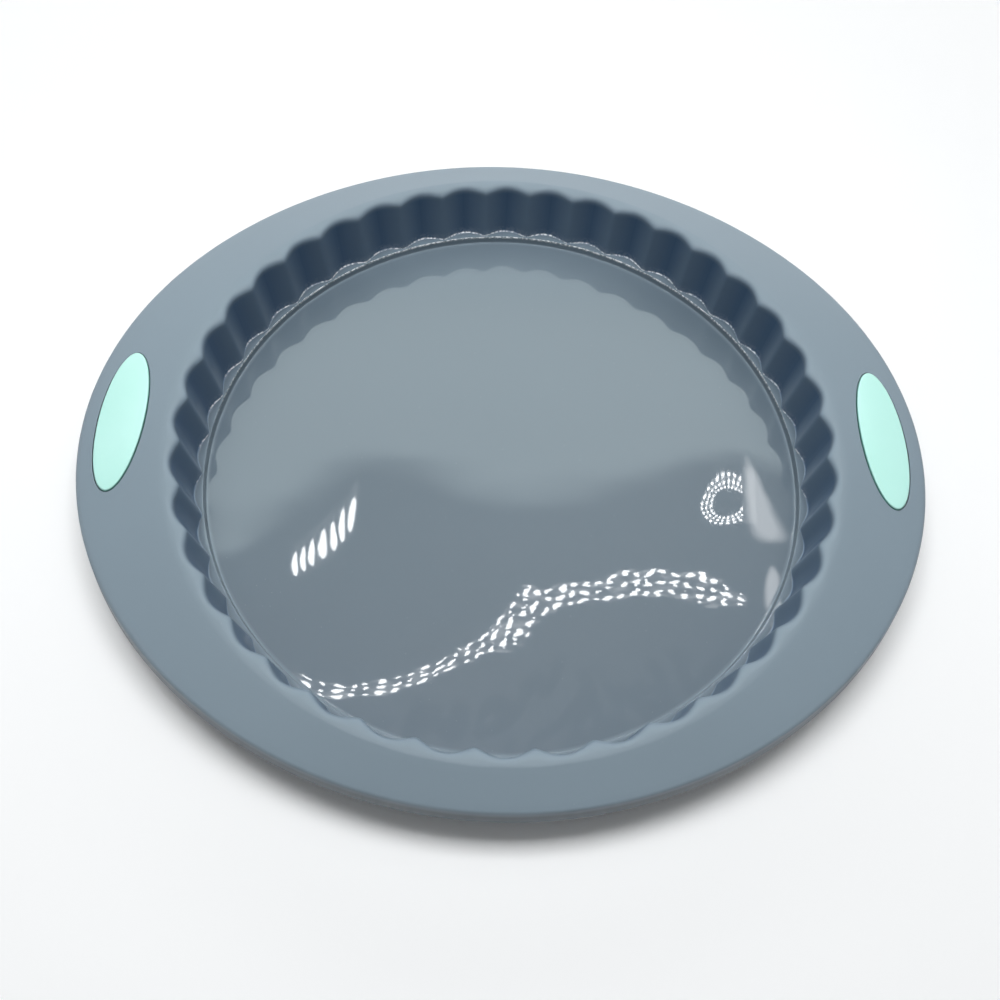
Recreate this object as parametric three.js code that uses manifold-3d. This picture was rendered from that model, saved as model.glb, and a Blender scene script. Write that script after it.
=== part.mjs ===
// A fluted silicone tart pan with an oval rim, a steel ring inside the rim and two inlaid grips.
// Millimetres, +Z up. The origin is the middle of the underside, X runs through the two grips.

import * as THREE from "three";
import { mergeVertices } from "three/addons/utils/BufferGeometryUtils.js";
import Module from "manifold-3d";

const wasm = await Module();
wasm.setup();

// Driving dimensions of the fluted cup
const panHeight = 30; // table to the top edge of the cup
const cupRadius = 123.5; // middle of the cup to the outermost line of the flutes, at the top
const wallLean = 2.9; // how much narrower the flutes are at their foot
const fluteCount = 40;
const fluteDepth = 2.8;
const creaseSoftness = 0.2; // 0 is a sharp crease between two flutes
const ledgeWidth = 0.8; // ledge left in front of a crease
const stepHeight = 3; // floor to ledge
const stepRun = 0.5; // how far the step leans
const floorThickness = 2;
const wallThickness = 2;
const edgeRound = 2; // rounding between the wall and the flange
const landWidth = 1; // level strip between the flutes and the falling flange

// Driving dimensions of the rim
const endFlange = 34.5; // from the flutes to the rim's edge, at the grips
const sideFlange = 16.5; // the same, halfway between the grips
const shoulderInset = 1.75; // how far the outline is drawn in between its ends and its sides
const flangeFall = 4; // from the cup's top edge to the rim's outer edge
const flangeThickness = 3;
const rimRound = 2;
const skirtDrop = 8; // height of the turned-down edge
const skirtFlare = 1.25; // how far it stands out at its foot
const skirtThickness = 6;

// Driving dimensions of the steel ring and of the marks left by the mould's locating pins
const wireRadius = 1.6;
const pinMarkRadius = 1.2;
const pinMarkCount = 8;

// Driving dimensions of the grips
const gripMargin = 4; // from the rounded edge of the rim to the grip
const gripHalfWidth = 9;
const gripHalfLength = 30.6;
const gripCrown = 1.2; // height of the dome over the flange
const gripEdgeLift = 0.3; // height of the grip's edge over the flange
const gripDepth = 1.5; // depth of the pocket
const keyInset = 3; // the key through the flange is this much smaller all round
const fitGap = 0.3; // clearance between the moulding and what is set into it

// How finely curves are drawn
const creaseColumns = [0, 0.1, 0.3, 0.5, 0.7, 0.9]; // shares of one flute, from crease to crease
const ringColumns = 72;
const wireSides = 8;
const gripColumns = 40;
const pinMarkSides = 10;

// Sizes that follow from the driving dimensions
const ledgeHeight = floorThickness + stepHeight;
const wallFootRadius = cupRadius - wallLean;
const stepRadius = wallFootRadius - fluteDepth - ledgeWidth;
const landRadius = cupRadius + edgeRound + landWidth;
const rimHalfLength = cupRadius + endFlange;
const rimHalfWidth = cupRadius + sideFlange;
const rimHeight = panHeight - flangeFall;
const skirtFootHeight = rimHeight - skirtDrop;
const wireHeight = rimHeight - skirtDrop / 2;
const wireInset = (skirtThickness - skirtFlare) / 2;
const gripDistance = rimHalfLength - rimRound - gripMargin - gripHalfWidth;
const diagonal = Math.SQRT1_2;

// Depth of the flutes round the cup: 0 in the middle of a flute, 1 at a crease
function creaseShare(angle) {
  const swell = Math.abs(Math.sin((angle * fluteCount) / 2 + Math.PI / 2));
  const softened = Math.hypot(swell, creaseSoftness) - creaseSoftness;
  return 1 - softened / (Math.hypot(1, creaseSoftness) - creaseSoftness);
}

// Radius of the rim's outline: long at the grips, short between them
function rimRadius(angle) {
  const middle = (rimHalfLength + rimHalfWidth) / 2;
  const reach = (rimHalfLength - rimHalfWidth) / 2;
  const drawnIn = (shoulderInset * (1 - Math.cos(4 * angle))) / 2;
  return middle + reach * Math.cos(2 * angle) - drawnIn;
}

// Height of the flange's upper face over a point of the plan
function flangeHeight(x, y) {
  const radius = Math.hypot(x, y);
  const outer = rimRadius(Math.atan2(y, x)) - rimRound;
  const share = THREE.MathUtils.clamp((radius - landRadius) / (outer - landRadius), 0, 1);
  return panHeight - flangeFall * share;
}

// A closed solid from a profile turned about the Z axis: place(station, turn) gives each point,
// where turn counts from 0 to 1 round the axis
function turnedSolid(stations, columns, place) {
  const profile = stations.map((_, index) => new THREE.Vector2(1, index));
  const lathe = new THREE.LatheGeometry(profile, columns);
  const positions = lathe.getAttribute("position");
  const point = new THREE.Vector3();
  for (let column = 0; column <= columns; column += 1) {
    stations.forEach((station, row) => {
      place(station, (column % columns) / columns, point);
      positions.setXYZ(column * stations.length + row, point.x, point.y, point.z);
    });
  }
  return solidFrom(lathe);
}

// Joins shared corners, drops the empty triangles on the axis and hands over a closed solid
function solidFrom(geometry) {
  const bare = geometry.clone();
  bare.deleteAttribute("normal");
  bare.deleteAttribute("uv");
  const joined = mergeVertices(bare, 1e-4);
  const corners = joined.getIndex().array;
  const kept = [];
  for (let start = 0; start < corners.length; start += 3) {
    const [a, b, c] = corners.slice(start, start + 3);
    if (a !== b && b !== c && c !== a) {
      kept.push(a, b, c);
    }
  }
  const vertProperties = Float32Array.from(joined.getAttribute("position").array);
  const triVerts = Uint32Array.from(kept);
  return new wasm.Manifold(new wasm.Mesh({ numProp: 3, vertProperties, triVerts }));
}

// A named mesh from a finished solid
function meshFrom(name, solid, material) {
  const { vertProperties, triVerts } = solid.getMesh();
  const geometry = new THREE.BufferGeometry();
  geometry.setAttribute("position", new THREE.BufferAttribute(Float32Array.from(vertProperties), 3));
  geometry.setIndex(new THREE.BufferAttribute(Uint32Array.from(triVerts), 1));
  geometry.computeVertexNormals();
  const mesh = new THREE.Mesh(geometry, material);
  mesh.name = name;
  return mesh;
}

// Pan body before anything is cut into it. A station follows the plain circle, the flutes or the rim.
function panBlank() {
  const roundEdge = edgeRound * (1 - diagonal);
  const roundRim = rimRound * (1 - diagonal);
  const underRim = flangeHeight(rimHalfLength - skirtThickness, 0) - flangeThickness;
  const stations = [
    { follows: "circle", out: 0, up: 0 },
    { follows: "circle", out: stepRadius - stepRun + wallThickness, up: 0 },
    { follows: "circle", out: stepRadius + wallThickness, up: stepHeight },
    { follows: "flutes", out: wallFootRadius + wallThickness, up: stepHeight },
    { follows: "flutes", out: cupRadius + wallThickness, up: panHeight - flangeThickness },
    { follows: "rim", out: -skirtThickness, up: underRim },
    { follows: "rim", out: skirtFlare - skirtThickness, up: skirtFootHeight },
    { follows: "rim", out: skirtFlare, up: skirtFootHeight },
    { follows: "rim", out: 0, up: rimHeight - rimRound },
    { follows: "rim", out: -roundRim, up: rimHeight - roundRim },
    { follows: "rim", out: -rimRound, up: rimHeight },
    { follows: "circle", out: landRadius, up: panHeight },
    { follows: "flutes", out: cupRadius + edgeRound, up: panHeight },
    { follows: "flutes", out: cupRadius + roundEdge, up: panHeight - roundEdge },
    { follows: "flutes", out: cupRadius, up: panHeight - edgeRound },
    { follows: "flutes", out: wallFootRadius, up: ledgeHeight },
    { follows: "circle", out: stepRadius, up: ledgeHeight },
    { follows: "circle", out: stepRadius - stepRun, up: floorThickness },
    { follows: "circle", out: 0, up: floorThickness },
  ];
  const perFlute = creaseColumns.length;
  const columns = fluteCount * perFlute;
  return turnedSolid(stations, columns, (station, turn, point) => {
    const column = Math.round(turn * columns);
    const flute = Math.floor(column / perFlute) + creaseColumns[column % perFlute] - 0.5;
    const angle = (flute / fluteCount) * 2 * Math.PI;
    let radius = station.out;
    if (station.follows === "flutes") {
      radius -= fluteDepth * creaseShare(angle);
    }
    if (station.follows === "rim") {
      radius += rimRadius(angle);
    }
    point.set(radius * Math.cos(angle), radius * Math.sin(angle), station.up);
  });
}

// Closed ring of round section that follows the rim inside its turned-down edge
function rimRing(sectionRadius) {
  const stations = [];
  for (let side = 0; side <= wireSides; side += 1) {
    const around = ((side % wireSides) / wireSides) * 2 * Math.PI;
    stations.push({ out: Math.cos(around) * sectionRadius, up: Math.sin(around) * sectionRadius });
  }
  return turnedSolid(stations, ringColumns, (station, turn, point) => {
    const angle = turn * 2 * Math.PI;
    const radius = rimRadius(angle) - wireInset + station.out;
    point.set(radius * Math.cos(angle), radius * Math.sin(angle), wireHeight + station.up);
  });
}

// Holes that the mould's locating pins leave from the foot of the skirt up to the steel ring
function pinMarks() {
  const height = wireHeight - skirtFootHeight;
  const marks = [];
  for (let index = 0; index < pinMarkCount; index += 1) {
    const angle = ((index + 0.5) / pinMarkCount) * 2 * Math.PI;
    const radius = rimRadius(angle) - wireInset;
    const pin = new THREE.CylinderGeometry(pinMarkRadius, pinMarkRadius, height * 2, pinMarkSides);
    pin.rotateX(Math.PI / 2);
    pin.translate(radius * Math.cos(angle), radius * Math.sin(angle), skirtFootHeight);
    marks.push(solidFrom(pin));
  }
  return marks;
}

// Oval solid over the right end of the flange. Each station has its half width, its half length and its
// lift over the flange.
function gripSolid(stations) {
  return turnedSolid(stations, gripColumns, (station, turn, point) => {
    const around = turn * 2 * Math.PI;
    const x = gripDistance + station.halfWidth * Math.cos(around);
    const y = station.halfLength * Math.sin(around);
    point.set(x, y, flangeHeight(x, y) + station.lift);
  });
}

// Outline of a grip, drawn in by an inset or let out by a gap
function gripOutline(inset, lift) {
  return { halfWidth: gripHalfWidth - inset, halfLength: gripHalfLength - inset, lift };
}

// Inlaid grip: a low dome, the body that fills the pocket and the key that goes through the flange
function grip() {
  const domeShares = [0, 0.4, 0.75];
  const dome = domeShares.map((share) => ({
    halfWidth: gripHalfWidth * share,
    halfLength: gripHalfLength * share,
    lift: gripEdgeLift + (gripCrown - gripEdgeLift) * (1 - share * share),
  }));
  return gripSolid([
    { halfWidth: 0, halfLength: 0, lift: fitGap - flangeThickness },
    gripOutline(keyInset, fitGap - flangeThickness),
    gripOutline(keyInset, -gripDepth),
    gripOutline(0, -gripDepth),
    gripOutline(0, gripEdgeLift),
    ...dome.reverse(),
  ]);
}

// Pocket and key hole that take a grip, larger by the clearance and open above and below the flange
function gripPocket() {
  const above = gripCrown + flangeThickness;
  const below = -2 * flangeThickness;
  return gripSolid([
    { halfWidth: 0, halfLength: 0, lift: below },
    gripOutline(keyInset - fitGap, below),
    gripOutline(keyInset - fitGap, -gripDepth - fitGap),
    gripOutline(-fitGap, -gripDepth - fitGap),
    gripOutline(-fitGap, above),
    { halfWidth: 0, halfLength: 0, lift: above },
  ]);
}

// Materials
const greySilicone = new THREE.MeshStandardMaterial({ color: 0x6f7f8c, roughness: 0.45, metalness: 0 });
const springSteel = new THREE.MeshStandardMaterial({ color: 0xb4b6b8, roughness: 0.35, metalness: 1 });
const mintLeft = new THREE.MeshStandardMaterial({ color: 0xb1e9db, roughness: 0.35, metalness: 0 });
const mintRight = mintLeft.clone();

// Pan body with its ring channel, pin marks and two pockets
let body = panBlank().subtract(rimRing(wireRadius + fitGap));
for (const mark of pinMarks()) {
  body = body.subtract(mark);
}
const pocket = gripPocket();
body = body.subtract(pocket).subtract(pocket.rotate([0, 0, 180]));

const pan = new THREE.Group();
pan.add(meshFrom("pan_body", body, greySilicone));
pan.add(meshFrom("rim_wire", rimRing(wireRadius), springSteel));
pan.add(meshFrom("grip_right", grip(), mintRight));

const leftGrip = meshFrom("grip_left", grip(), mintLeft);
leftGrip.rotation.z = Math.PI;
pan.add(leftGrip);

export default pan;
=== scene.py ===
# %% [markdown]
# # A silicone tart pan, dressed in Blender
#
# The pan is one grey silicone moulding: a round fluted cup inside a wide oval rim. Two mint inlays mark where
# to hold it, and a steel ring is hidden in the rim. The solids come packed. This lesson gives them fine
# surfaces, soft edges and finishes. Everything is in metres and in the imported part's own frame: the table is
# at Z = 0, and X runs through the two grips.

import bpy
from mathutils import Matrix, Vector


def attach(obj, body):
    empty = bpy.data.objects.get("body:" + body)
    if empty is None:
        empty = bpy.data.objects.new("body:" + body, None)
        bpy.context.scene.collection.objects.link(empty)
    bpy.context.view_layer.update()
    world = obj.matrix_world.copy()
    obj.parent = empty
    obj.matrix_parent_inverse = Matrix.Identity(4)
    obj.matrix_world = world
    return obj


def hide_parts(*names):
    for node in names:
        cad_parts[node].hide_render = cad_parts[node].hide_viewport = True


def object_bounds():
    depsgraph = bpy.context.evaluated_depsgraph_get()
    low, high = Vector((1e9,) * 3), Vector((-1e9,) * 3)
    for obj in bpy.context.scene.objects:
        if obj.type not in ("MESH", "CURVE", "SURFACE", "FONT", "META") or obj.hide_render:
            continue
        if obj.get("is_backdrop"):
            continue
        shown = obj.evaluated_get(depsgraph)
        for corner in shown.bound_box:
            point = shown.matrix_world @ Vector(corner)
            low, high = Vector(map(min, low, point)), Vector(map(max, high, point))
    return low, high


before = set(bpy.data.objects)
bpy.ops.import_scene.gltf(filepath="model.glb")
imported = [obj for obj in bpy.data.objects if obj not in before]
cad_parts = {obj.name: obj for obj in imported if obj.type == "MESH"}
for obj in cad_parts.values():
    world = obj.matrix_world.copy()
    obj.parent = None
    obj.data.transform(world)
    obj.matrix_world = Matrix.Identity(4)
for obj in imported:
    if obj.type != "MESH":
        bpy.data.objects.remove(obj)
solid_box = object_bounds()
print("packed nodes:", sorted(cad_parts))

# %% Tools that the lesson uses
import math
from collections import namedtuple

import bmesh
import bpy
from mathutils import Matrix, Vector

MM = 0.001
scene = bpy.context.scene
print("one millimetre is", MM, "metres")

# %% [markdown]
# ## The camera
#
# The photograph looks down steeply, from close by, with the camera held a little askew. A camera can be aimed
# with a constraint, but three plain angles and a distance are easier to read and to correct. The lens follows
# from how fast the far side of the rim gets smaller than the near side.

# %% Set up the camera
looking_down = math.radians(61.26)
turned_aside = math.radians(3.38)
held_askew = math.radians(4.33)
camera_distance = 382.6 * MM
aim_point = Vector((-1.3, -15.4, 0.0)) * MM
sensor_width = 36.0
focal_share = 0.9737

view_line = Vector((
    math.sin(turned_aside) * math.cos(looking_down),
    math.cos(turned_aside) * math.cos(looking_down),
    -math.sin(looking_down),
))
level_right = Vector((math.cos(turned_aside), -math.sin(turned_aside), 0.0))
level_up = level_right.cross(view_line)
camera_right = level_right * math.cos(held_askew) + level_up * math.sin(held_askew)
camera_up = level_up * math.cos(held_askew) - level_right * math.sin(held_askew)
camera_place = aim_point - view_line * camera_distance

camera_data = bpy.data.cameras.new("photo_camera")
camera_data.sensor_fit = "HORIZONTAL"
camera_data.sensor_width = sensor_width
camera_data.lens = sensor_width * focal_share
camera = bpy.data.objects.new("photo_camera", camera_data)
camera_axes = Matrix((camera_right, camera_up, -view_line)).transposed()
camera.matrix_world = Matrix.Translation(camera_place) @ camera_axes.to_4x4()
scene.collection.objects.link(camera)
scene.camera = camera
scene.view_settings.view_transform = "Standard"
print("camera stands at", [round(value, 3) for value in camera_place])

# %% [markdown]
# ## Sizes of the pan
#
# These are the part's own sizes in millimetres, repeated here because the scene can't read its source. The
# rim's outline is long at the grips and short between them. The flange falls a little from the cup to the
# rim's edge.

# %% Sizes of the pan, in millimetres
pan_height = 30.0
cup_radius = 123.5
wall_lean = 2.9
flute_count = 40
flute_depth = 2.8
crease_softness = 0.2
ledge_width = 0.8
step_height = 3.0
step_run = 0.5
floor_thickness = 2.0
wall_thickness = 2.0
land_radius = cup_radius + 3.0
rim_half_length = cup_radius + 34.5
rim_half_width = cup_radius + 16.5
shoulder_inset = 1.75
flange_fall = 4.0
flange_thickness = 3.0
rim_round = 2.0
skirt_drop = 8.0
skirt_flare = 1.25
skirt_thickness = 6.0

ledge_height = floor_thickness + step_height
wall_foot_radius = cup_radius - wall_lean
step_radius = wall_foot_radius - flute_depth - ledge_width
rim_height = pan_height - flange_fall
skirt_foot_height = rim_height - skirt_drop
mean_rim_radius = (rim_half_length + rim_half_width) / 2


def rim_radius(angle):
    """Radius of the rim's outline in one direction."""
    reach = (rim_half_length - rim_half_width) / 2
    drawn_in = shoulder_inset * (1 - math.cos(4 * angle)) / 2
    return mean_rim_radius + reach * math.cos(2 * angle) - drawn_in


def flange_height(x, y):
    """Height of the flange's upper face over a point of the plan."""
    outer = rim_radius(math.atan2(y, x)) - rim_round
    share = (math.hypot(x, y) - land_radius) / (outer - land_radius)
    return pan_height - flange_fall * min(max(share, 0.0), 1.0)


print("the flange falls from", pan_height, "to", rim_height, "mm")

# %% [markdown]
# ## The profile of the pan
#
# Cut the pan from its middle to its edge and you see one long line: underside, wall, skirt, flange, flutes,
# step and floor. Each station on that line says how far out and how high it is, and how much it follows the
# flutes and the oval rim. A soft corner is a short curve between its two neighbours, so that every edge
# catches light as moulded silicone does. The line also carries what the finish needs later: where it is
# glossy, where the floor may swell, where the wall and the skirt get painted shade, and where the ledge's
# edges get painted glints.

# %% Stations of the profile
Station = namedtuple("Station", "out up flutes rim gloss wall swell soften spacing")

under_skirt = flange_height(rim_half_length - skirt_thickness, 0.0) - flange_thickness
outer_foot = step_radius + wall_thickness
floor_edge = step_radius - step_run
gloss_run = 1.6
rim_edge_round = 1.4
fillet_reach = 0.7
past_fillet = 1.1 * fillet_reach
ledge_flutes = 1 - past_fillet / (wall_foot_radius - step_radius)
# The wall's painted shade grows from the top of the wall and is full this many millimetres lower.
wall_shade_start = 3.5
wall_shade_radius = cup_radius - wall_shade_start * wall_lean / (pan_height - ledge_height)
stations = [
    Station(0.0, 0.0, 0, 0, 0.0, 0, 0, 0.0, 30.0),
    Station(outer_foot - step_run, 0.0, 0, 0, 0.0, 0, 0, 0.9, 1.5),
    Station(outer_foot, step_height, 0, 0, 0.0, 0, 0, 0.7, 1.5),
    Station(wall_foot_radius + wall_thickness, step_height, 1, 0, 0.0, 0, 0, 1.0, 4.0),
    Station(cup_radius + wall_thickness, pan_height - flange_thickness, 1, 0, 0.0, 0, 0, 2.0, 4.0),
    Station(-skirt_thickness, under_skirt, 0, 1, 0.0, 0, 0, 1.5, 3.0),
    Station(skirt_flare - skirt_thickness, skirt_foot_height, 0, 1, 0.0, 0, 0, 0.8, 3.0),
    Station(skirt_flare, skirt_foot_height, 0, 1, 0.0, 0, 0, 0.8, 2.0),
    Station(0.0, rim_height, 0, 1, 0.0, 0, 0, rim_edge_round, 3.0),
    Station(land_radius, pan_height, 0, 0, 0.0, 0, 0, 0.9, 1.0),
    Station(cup_radius, pan_height, 1, 0, 0.0, 0, 0, 2.0, 3.0),
    Station(wall_shade_radius, pan_height - wall_shade_start, 1, 0, 0.0, 1, 0, 0.0, 3.0),
    Station(wall_foot_radius, ledge_height, 1, 0, 0.5, 1, 1, fillet_reach, 0.8),
    Station(wall_foot_radius - past_fillet, ledge_height, ledge_flutes, 0, 1.0, 0, 1, 0.0, 1.0),
    Station(step_radius, ledge_height, 0, 0, 0.5, 0, 1, 0.35, 1.0),
    Station(floor_edge, floor_thickness, 0, 0, 0.45, 0, 1, 0.5, 1.0),
    Station(floor_edge - gloss_run, floor_thickness, 0, 0, 1.0, 0, 1, 0.0, 3.5),
    Station(0.0, floor_thickness, 0, 0, 1.0, 0, 1, 0.0, 0.0),
]
print(len(stations), "stations, from the middle of the underside to the middle of the floor")

# %% Rows of points along the profile
CARRIED = 7
BEND_STEPS = 5


def between(first, second, share):
    """A profile point on the way from one station to another."""
    return [a + (b - a) * share for a, b in zip(first[:CARRIED], second[:CARRIED])]


def span(first, second):
    """Length between two profile points, through the middle of a flute and at the mean rim radius."""
    reach = (second[0] + second[3] * mean_rim_radius) - (first[0] + first[3] * mean_rim_radius)
    return math.hypot(reach, second[1] - first[1])


def straight_rows(first, second, spacing):
    """Rows after the first point, up to and with the second."""
    count = max(1, math.ceil(span(first, second) / spacing))
    return [between(first, second, step / count) for step in range(1, count + 1)]


def soft_corner(start, corner, end):
    """Rows of the short curve that replaces a corner, after its start."""
    rows = []
    for step in range(1, BEND_STEPS + 1):
        share = step / BEND_STEPS
        rows.append(between(between(start, corner, share), between(corner, end, share), share))
    return rows


profile = [list(stations[0][:CARRIED])]
for before, corner, after in zip(stations, stations[1:], stations[2:]):
    start = between(corner, before, corner.soften / span(corner, before))
    end = between(corner, after, corner.soften / span(corner, after))
    profile += straight_rows(profile[-1], start, before.spacing)
    if corner.soften > 0:
        profile += soft_corner(start, corner, end)
profile += straight_rows(profile[-1], stations[-1], stations[-2].spacing)
print(len(profile), "rows in the profile")

# %% Painted glints on the ledge's edges, and painted shade on the skirt
GLINT_REACH = 0.75
GLINT_GAIN = 1.4
SKIRT_SHADE_FADE = 3.0

ledge_corners = [(wall_foot_radius, ledge_height), (step_radius, ledge_height)]
# Rows near the ledge's two corners get a painted glint; rows low on the rim get the skirt's painted shade.
for row in profile:
    away = min(math.dist(row[:2], corner) for corner in ledge_corners)
    below_rim = (rim_height - row[1]) / SKIRT_SHADE_FADE
    row.append(min(1.0, GLINT_GAIN * max(0.0, 1 - away / GLINT_REACH)))
    row.append(row[3] * min(1.0, max(0.0, below_rim)))
print("each row has", len(profile[0]), "values")

# %% The profile as a line that nodes can read
CARRIED_NAMES = ("follows_flutes", "follows_rim", "gloss", "wall", "swell", "pale_edge", "skirt")

profile_mesh = bpy.data.meshes.new("pan_shell")
profile_points = [(row[0] * MM, 0.0, row[1] * MM) for row in profile]
profile_edges = [(index, index + 1) for index in range(len(profile) - 1)]
profile_mesh.from_pydata(profile_points, profile_edges, [])
for column, attribute_name in enumerate(CARRIED_NAMES, start=2):
    attribute = profile_mesh.attributes.new(attribute_name, "FLOAT", "POINT")
    for item, row in zip(attribute.data, profile):
        item.value = row[column]
pan_shell = bpy.data.objects.new("pan_shell", profile_mesh)
scene.collection.objects.link(pan_shell)
print("profile carries", [item.name for item in profile_mesh.attributes if not item.is_internal])

# %% [markdown]
# ## Small helpers for node trees
#
# The same few moves come back in every tree: add a node, feed its sockets with a number or with another
# node's output, do a step of arithmetic, and name the inputs and outputs of a group.


# %% Helpers for node trees
def feed(tree, socket, value):
    """Links a socket to another node's output, or sets its own value."""
    if isinstance(value, bpy.types.NodeSocket):
        tree.links.new(value, socket)
    else:
        socket.default_value = value


def add(tree, kind, settings=None, **values):
    """Adds a node, sets its options and feeds its inputs by name; an underscore stands for a space."""
    node = tree.nodes.new(kind)
    for option, choice in (settings or {}).items():
        setattr(node, option, choice)
    for name, value in values.items():
        feed(tree, node.inputs[name.replace("_", " ")], value)
    return node


def calc(tree, operation, *values, kind="ShaderNodeMath"):
    """One step of arithmetic."""
    node = add(tree, kind, {"operation": operation})
    for socket, value in zip(node.inputs, values):
        feed(tree, socket, value)
    return node.outputs["Value"]


def plus(tree, first, second):
    """The sum of two values."""
    return calc(tree, "ADD", first, second)


def minus(tree, first, second):
    """The first value less the second."""
    return calc(tree, "SUBTRACT", first, second)


def times(tree, first, second):
    """The product of two values."""
    return calc(tree, "MULTIPLY", first, second)


def ramp(tree, value, start=0.0, end=1.0, low=0.0, high=1.0, soft=False):
    """Brings a value from one span to another, in a straight line or softly."""
    course = {"interpolation_type": "SMOOTHSTEP" if soft else "LINEAR"}
    spans = {"From_Min": start, "From_Max": end, "To_Min": low, "To_Max": high}
    return add(tree, "ShaderNodeMapRange", course, Value=value, **spans).outputs["Result"]


def noise(tree, place, scale, detail=2.0):
    """A soft noise, mostly between 0.3 and 0.7."""
    return add(tree, "ShaderNodeTexNoise", Vector=place, Scale=scale, Detail=detail).outputs["Fac"]


def hypotenuse(tree, first, second):
    """Length of two values that are set at right angles."""
    squares = [calc(tree, "POWER", value, 2.0) for value in (first, second)]
    return calc(tree, "SQRT", plus(tree, *squares))


def new_tree(name, kind, inputs, outputs):
    """A node tree with named inputs and outputs, its input node and its output node."""
    tree = bpy.data.node_groups.new(name, kind)
    for direction, sockets in (("INPUT", inputs), ("OUTPUT", outputs)):
        for socket_name, socket_kind in sockets.items():
            full_kind = "NodeSocket" + socket_kind
            tree.interface.new_socket(name=socket_name, in_out=direction, socket_type=full_kind)
    return tree, tree.nodes.new("NodeGroupInput"), tree.nodes.new("NodeGroupOutput")


def use_group(tree, group, **values):
    """Places a node group in a geometry tree or a material."""
    kind = "GeometryNodeGroup" if group.bl_idname == "GeometryNodeTree" else "ShaderNodeGroup"
    return add(tree, kind, {"node_tree": group}, **values)


print("helpers ready")

# %% [markdown]
# ## The rule of the flutes and of the rim
#
# Going round the pan, a flute swells outwards like half a sine wave and meets the next one in a soft crease.
# The rim's outline is a circle that is pulled out at the two grips. Both are rules of the angle alone, so
# they go into one small node group that the pan and the marks in its skirt share.

# %% Node group for flutes and rim
RULE_SIZES = ("Crease Softness", "Rim Half Length", "Rim Half Width", "Shoulder Inset")

outline_group, outline_in, outline_out = new_tree(
    "flutes_and_rim",
    "GeometryNodeTree",
    dict.fromkeys(("Angle", "Flutes", *RULE_SIZES), "Float"),
    {"Crease Share": "Float", "Rim Radius": "Float"},
)
group = outline_group
given = outline_in.outputs
print("group", group.name, "takes", len(given) - 1, "inputs")


# %% Flutes of the rule
def soft_length(value, softness):
    """Size of a value, with a rounded tip at zero."""
    return minus(group, hypotenuse(group, value, softness), softness)


angle = given["Angle"]
softness = given["Crease Softness"]
half_turns = times(group, times(group, angle, given["Flutes"]), 0.5)
flute_swell = calc(group, "ABSOLUTE", calc(group, "COSINE", half_turns))
share_out = calc(group, "DIVIDE", soft_length(flute_swell, softness), soft_length(1.0, softness))
feed(group, outline_out.inputs["Crease Share"], minus(group, 1.0, share_out))
print("a crease has the share 1, the middle of a flute 0")

# %% Rim of the rule
half_length = given["Rim Half Length"]
half_width = given["Rim Half Width"]
middle = times(group, plus(group, half_length, half_width), 0.5)
reach = times(group, minus(group, half_length, half_width), 0.5)
pulled = times(group, reach, calc(group, "COSINE", times(group, angle, 2.0)))
shoulder = minus(group, 1.0, calc(group, "COSINE", times(group, angle, 4.0)))
half_shoulder = times(group, shoulder, 0.5)
drawn_in = times(group, half_shoulder, given["Shoulder Inset"])
outline = minus(group, plus(group, middle, pulled), drawn_in)
feed(group, outline_out.inputs["Rim Radius"], outline)
print("group", group.name, "has", len(group.nodes), "nodes")

# %% [markdown]
# ## Pockets for the grips
#
# Each grip sits in an oval pocket with a key hole through the flange. The pocket could be modelled into the
# profile, but it breaks the rule of the turned shape, so it is cut out afterwards with an oval tool. Tool and
# grip are built by one function, from oval rings that lie on the sloping flange.

# %% Ovals that lie on the flange
grip_half_width = 9.0
grip_half_length = 30.6
grip_margin = 4.0
grip_distance = rim_half_length - rim_round - grip_margin - grip_half_width
grip_crown = 1.2
grip_edge_lift = 0.85
grip_depth = 1.5
key_inset = 3.0
fit_gap = 0.3
OVAL_COLUMNS = 96


def oval(inset, lift):
    """One ring: half width, half length and lift over the flange."""
    return (grip_half_width - inset, grip_half_length - inset, lift)


def oval_solid(name, rings, side):
    """A closed solid from oval rings over one end of the flange; side is 1 on the right, -1 on the left."""
    shape = bmesh.new()
    loops = []
    for half_width, half_length, lift in rings:
        columns = OVAL_COLUMNS if half_width > 0 else 1
        loop = []
        for column in range(columns):
            around = math.tau * column / OVAL_COLUMNS
            x = grip_distance + half_width * math.cos(around)
            y = half_length * math.sin(around)
            place = Vector((side * x, side * y, flange_height(x, y) + lift))
            loop.append(shape.verts.new(place * MM))
        loops.append(loop)
    for lower, upper in zip(loops, loops[1:]):
        for column in range(OVAL_COLUMNS):
            following = (column + 1) % OVAL_COLUMNS
            corners = [lower[column % len(lower)], lower[following % len(lower)]]
            corners += [upper[following % len(upper)], upper[column % len(upper)]]
            shape.faces.new(list(dict.fromkeys(corners)))
    bmesh.ops.recalc_face_normals(shape, faces=shape.faces)
    mesh = bpy.data.meshes.new(name)
    shape.to_mesh(mesh)
    shape.free()
    piece = bpy.data.objects.new(name, mesh)
    scene.collection.objects.link(piece)
    return piece


print("grips lie", grip_distance, "mm from the middle")

# %% Tools that cut the pockets
tool_top = 4.0
tool_bottom = -2 * flange_thickness
pocket_floor = -grip_depth - fit_gap
pocket_rings = [
    (0.0, 0.0, tool_bottom),
    oval(key_inset - fit_gap, tool_bottom),
    oval(key_inset - fit_gap, pocket_floor),
    oval(-fit_gap, pocket_floor),
    oval(-fit_gap, tool_top),
    (0.0, 0.0, tool_top),
]
pocket_tools = {
    "Right Pocket": oval_solid("pocket_tool_right", pocket_rings, 1),
    "Left Pocket": oval_solid("pocket_tool_left", pocket_rings, -1),
}
print("tools:", [tool.name for tool in pocket_tools.values()])
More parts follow.
